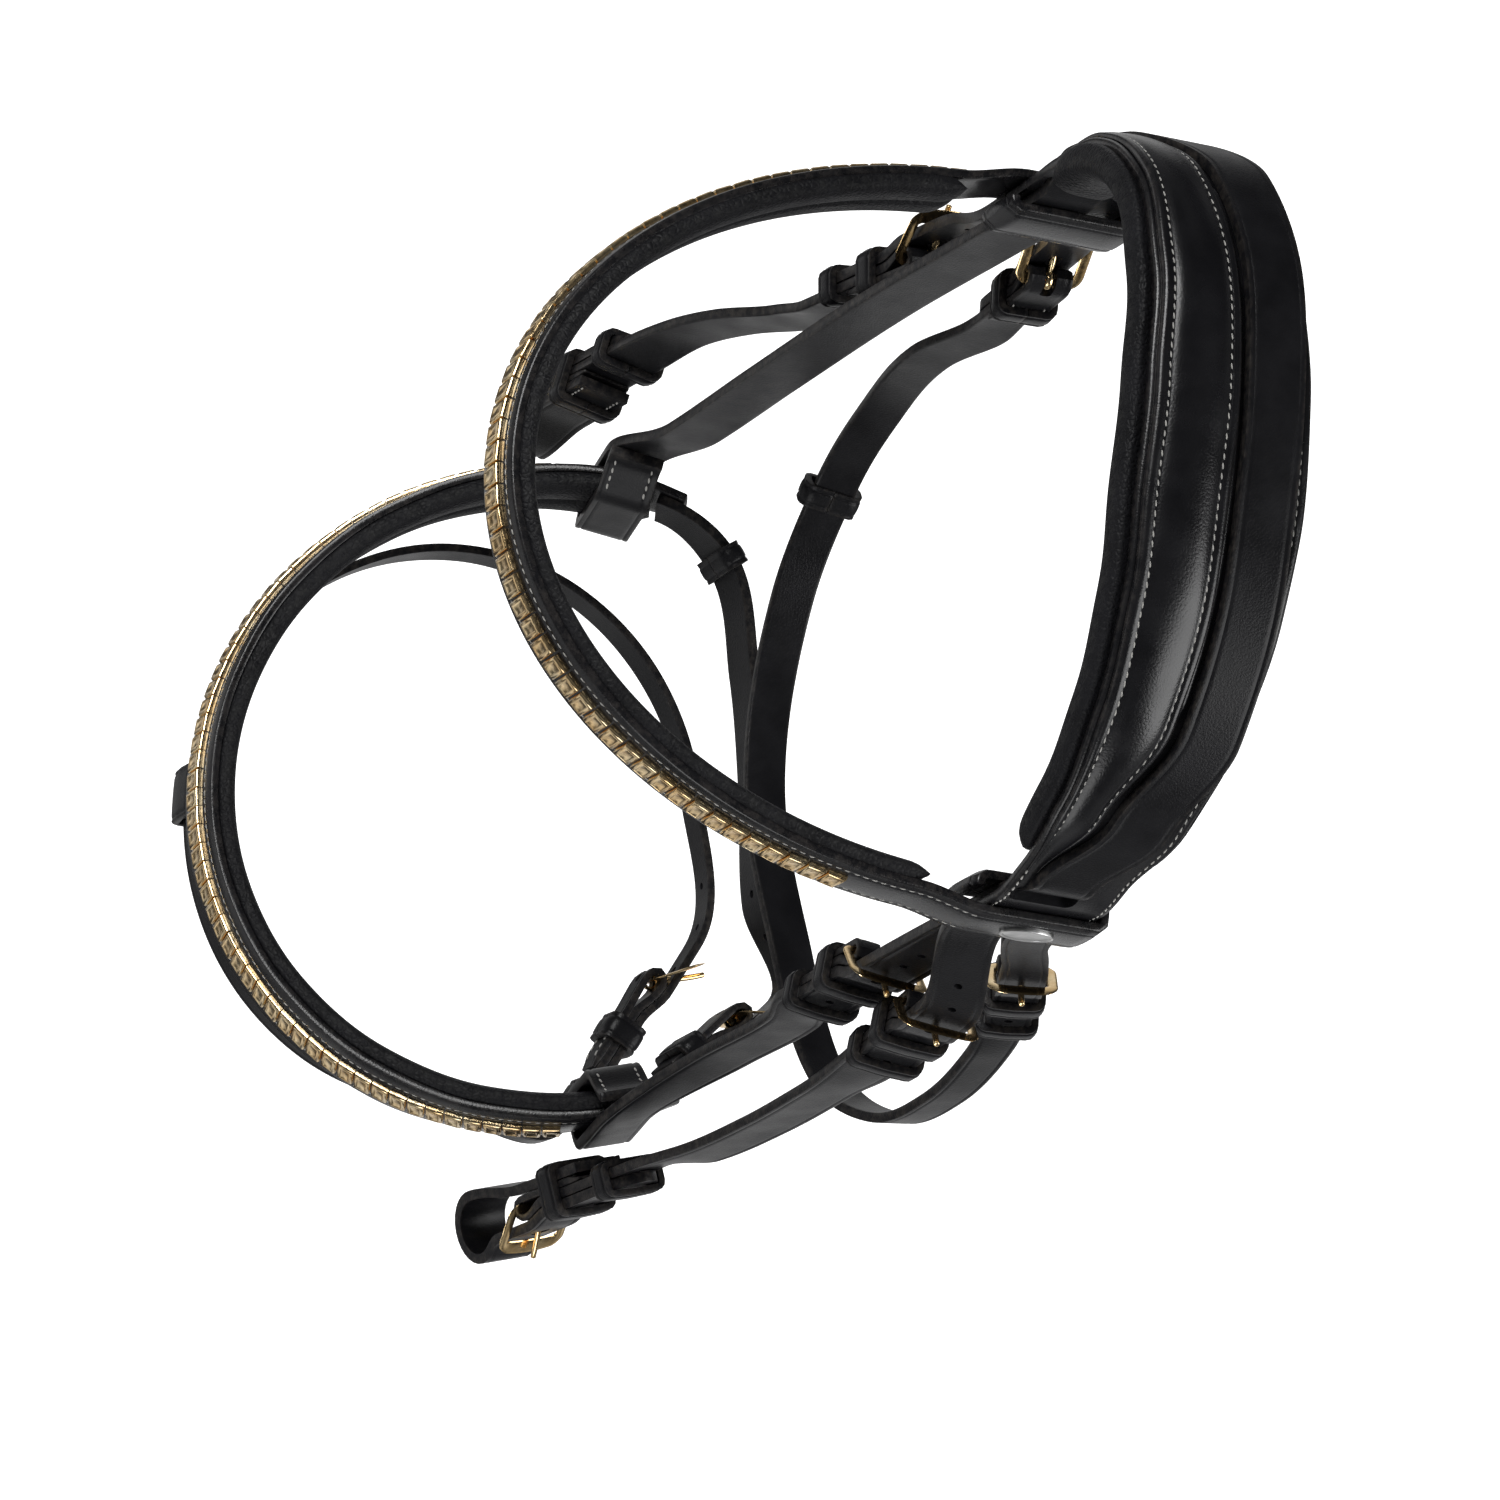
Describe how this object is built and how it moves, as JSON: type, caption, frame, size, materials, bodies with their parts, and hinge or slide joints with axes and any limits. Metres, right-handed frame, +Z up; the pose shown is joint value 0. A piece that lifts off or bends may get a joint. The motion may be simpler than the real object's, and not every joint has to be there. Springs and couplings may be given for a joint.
{
  "type": "snaffle bridle",
  "caption": "Snaffle bridle with padded crown, clincher browband and noseband, flash strap, throatlatch and buckled cheekpieces, without bit and reins.",
  "frame": {"origin": "seat of the padded crown on the poll, middle of the bridle", "axes": "+Z up, -Y towards the horse's face, +X the horse's left (near) side"},
  "size_m": [0.2664, 0.2171, 0.4659],
  "materials": {
    "polished_leather": "polished black leather, softly glossy",
    "strap_leather": "smooth black strap leather, satin, darker edges",
    "lining_leather": "fine grained soft black lining leather",
    "gold_metal": "pale gold plated metal, polished",
    "plate_metal": "plain brushed silver plate"
  },
  "bodies": {
    "headpiece": {"crown_leather": "strap_leather", "crown_padding": "lining_leather", "crown_front_panel": "polished_leather", "noseband_head_strap": "strap_leather", "near_hanger_strap": "strap_leather", "near_hanger_buckle": "gold_metal", "near_hanger_keeper": "strap_leather"},
    "browband": {"browband_leather": "polished_leather", "browband_padding": "lining_leather", "browband_clinchers": "gold_metal", "near_browband_loop": "strap_leather", "far_browband_loop": "strap_leather", "browband_badge": "plate_metal"},
    "throatlatch": {"near_throat_billet": "strap_leather", "far_throat_billet": "strap_leather", "near_throat_buckle": "gold_metal", "far_throat_buckle": "gold_metal", "near_throat_keeper": "strap_leather", "far_throat_keeper": "strap_leather", "throat_strap": "strap_leather"},
    "noseband": {"noseband_leather": "polished_leather", "noseband_padding": "lining_leather", "noseband_clinchers": "gold_metal", "chin_strap": "strap_leather", "chin_billet": "strap_leather", "chin_buckle": "gold_metal", "chin_keeper": "strap_leather", "chin_far_keeper": "strap_leather", "flash_loop": "strap_leather"},
    "flash": {"flash_strap": "strap_leather", "flash_buckle": "gold_metal", "flash_keeper": "strap_leather"},
    "near_cheekpiece": {"near_cheek_billet": "strap_leather", "near_cheek_strap": "strap_leather", "near_cheek_buckle": "gold_metal", "near_cheek_keeper": "strap_leather", "near_bit_billet": "strap_leather", "near_bit_buckle": "gold_metal", "near_bit_keepers": "strap_leather"},
    "far_cheekpiece": {"far_cheek_billet": "strap_leather", "far_cheek_strap": "strap_leather", "far_cheek_buckle": "gold_metal", "far_cheek_keeper": "strap_leather", "far_bit_billet": "strap_leather", "far_bit_buckle": "gold_metal", "far_bit_keepers": "strap_leather"},
    "near_hanger_prong": {"near_hanger_prong": "gold_metal"},
    "chin_prong": {"chin_prong": "gold_metal"},
    "flash_prong": {"flash_prong": "gold_metal"},
    "near_cheek_prong": {"near_cheek_prong": "gold_metal"},
    "near_bit_prong": {"near_bit_prong": "gold_metal"},
    "near_throat_prong": {"near_throat_prong": "gold_metal"},
    "far_cheek_prong": {"far_cheek_prong": "gold_metal"},
    "far_bit_prong": {"far_bit_prong": "gold_metal"},
    "far_throat_prong": {"far_throat_prong": "gold_metal"},
    "near_hanger_runner": {"near_hanger_runner": "strap_leather"},
    "near_cheek_runner": {"near_cheek_runner": "strap_leather"},
    "far_cheek_runner": {"far_cheek_runner": "strap_leather"},
    "near_throat_runner": {"near_throat_runner": "strap_leather"},
    "flash_runner": {"flash_runner": "strap_leather"}
  },
  "joints": [
    {"name": "browband_tilt", "type": "hinge", "parent": "headpiece", "child": "browband", "pos_m": [0, -0.006, -0.078], "axis": [1, 0, 0], "range_deg": [-5, 5]},
    {"name": "near_cheekpiece_swing", "type": "hinge", "parent": "headpiece", "child": "near_cheekpiece", "pos_m": [0.0995, -0.0135, -0.0902], "axis": [0, -1, 0], "range_deg": [0, 20]},
    {"name": "far_cheekpiece_swing", "type": "hinge", "parent": "headpiece", "child": "far_cheekpiece", "pos_m": [-0.0995, -0.0135, -0.0902], "axis": [0, 1, 0], "range_deg": [0, 20]},
    {"name": "throatlatch_swing", "type": "hinge", "parent": "headpiece", "child": "throatlatch", "pos_m": [0, 0.0023, -0.0906], "axis": [1, 0, 0], "range_deg": [0, 8]},
    {"name": "noseband_tilt", "type": "hinge", "parent": "headpiece", "child": "noseband", "pos_m": [-0.00081, -0.01134, -0.37068], "axis": [0.9989, 0.0436, 0.0182], "range_deg": [-4, 4]},
    {"name": "flash_swing", "type": "hinge", "parent": "noseband", "child": "flash", "pos_m": [0, -0.11842, -0.43688], "axis": [1, 0, 0], "range_deg": [-4, 4]},
    {"name": "near_hanger_prong_lift", "type": "hinge", "parent": "headpiece", "child": "near_hanger_prong", "pos_m": [0.08905, -0.006, -0.174], "axis": [0.1391, 0.9895, 0.0396], "range_deg": [0, 10]},
    {"name": "chin_prong_lift", "type": "hinge", "parent": "noseband", "child": "chin_prong", "pos_m": [0.06137, 0.02877, -0.3653], "axis": [0.0192, -0.0192, -0.9996], "range_deg": [0, 10]},
    {"name": "flash_prong_lift", "type": "hinge", "parent": "flash", "child": "flash_prong", "pos_m": [0.042, 0.01967, -0.40926], "axis": [-0.0805, 0.0409, -0.9959], "range_deg": [0, 10]},
    {"name": "near_cheek_prong_lift", "type": "hinge", "parent": "near_cheekpiece", "child": "near_cheek_prong", "pos_m": [0.1065, 0.001, -0.153], "axis": [0.1381, 0.9827, 0.1234], "range_deg": [0, 10]},
    {"name": "near_bit_prong_lift", "type": "hinge", "parent": "near_cheekpiece", "child": "near_bit_prong", "pos_m": [0.116, -0.012, -0.404], "axis": [0.3048, -0.938, 0.1653], "range_deg": [0, 10]},
    {"name": "near_throat_prong_lift", "type": "hinge", "parent": "throatlatch", "child": "near_throat_prong", "pos_m": [0.09355, 0.023, -0.146], "axis": [0, 0.9409, 0.3387], "range_deg": [0, 10]},
    {"name": "far_cheek_prong_lift", "type": "hinge", "parent": "far_cheekpiece", "child": "far_cheek_prong", "pos_m": [-0.1065, -0.008, -0.162], "axis": [0.0868, -0.9916, 0.0957], "range_deg": [0, 10]},
    {"name": "far_bit_prong_lift", "type": "hinge", "parent": "far_cheekpiece", "child": "far_bit_prong", "pos_m": [-0.122, -0.033, -0.374], "axis": [0.2078, 0.9777, -0.0299], "range_deg": [0, 10]},
    {"name": "far_throat_prong_lift", "type": "hinge", "parent": "throatlatch", "child": "far_throat_prong", "pos_m": [-0.09355, 0.011, -0.124], "axis": [0, -0.995, -0.0995], "range_deg": [0, 10]},
    {"name": "near_hanger_runner_slide", "type": "slide", "parent": "headpiece", "child": "near_hanger_runner", "axis": [0, 0.04, -0.9992], "range_m": [-0.003, 0.005]},
    {"name": "near_cheek_runner_slide", "type": "slide", "parent": "near_cheekpiece", "child": "near_cheek_runner", "axis": [0.0397, 0.1191, -0.9921], "range_m": [-0.003, 0.006]},
    {"name": "far_cheek_runner_slide", "type": "slide", "parent": "far_cheekpiece", "child": "far_cheek_runner", "axis": [-0.0398, -0.0994, -0.9942], "range_m": [-0.003, 0.006]},
    {"name": "near_throat_runner_slide", "type": "slide", "parent": "throatlatch", "child": "near_throat_runner", "axis": [0.0376, 0.3385, -0.9402], "range_m": [-0.003, 0.005]},
    {"name": "flash_runner_slide", "type": "slide", "parent": "flash", "child": "flash_runner", "axis": [0.8877, -0.4515, -0.0903], "range_m": [-0.003, 0.005]}
  ]
}
